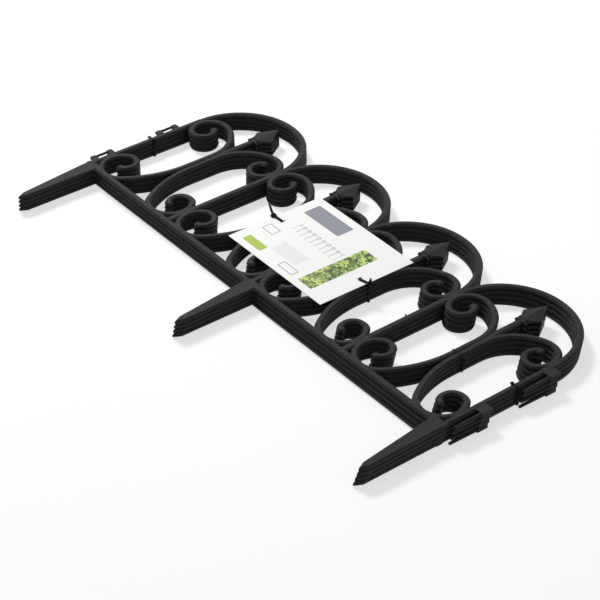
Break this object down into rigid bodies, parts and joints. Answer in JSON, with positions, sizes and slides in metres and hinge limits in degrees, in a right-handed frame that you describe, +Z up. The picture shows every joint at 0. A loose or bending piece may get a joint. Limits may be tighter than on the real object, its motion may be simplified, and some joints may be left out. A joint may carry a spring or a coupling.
{
  "type": "garden edging fence pack",
  "caption": "Flat stack of scrolled border fence panels with hoop tops, spear tips and ground spikes, tied together under a printed card.",
  "frame": {"origin": "centre of the whole pack's bounding box on the plane it lies on", "axes": "+X along the rails, towards the end with the prongs; +Y from the spikes to the hoops; +Z up through the stack"},
  "size_m": [0.6064, 0.3332, 0.022],
  "materials": {
    "black_plastic": "moulded polypropylene, satin with a fine grain",
    "tie_band": "thin soft black band",
    "printed_card": "smooth printed card"
  },
  "bodies": {
    "root": {"card_tie_left": "tie_band", "card_tie_right": "tie_band", "label_card": "printed_card", "panel_1": "black_plastic", "panel_2": "black_plastic", "panel_3": "black_plastic", "panel_4": "black_plastic", "post_tie_left": "tie_band", "post_tie_right": "tie_band", "scroll_tie": "tie_band"}
  },
  "joints": []
}
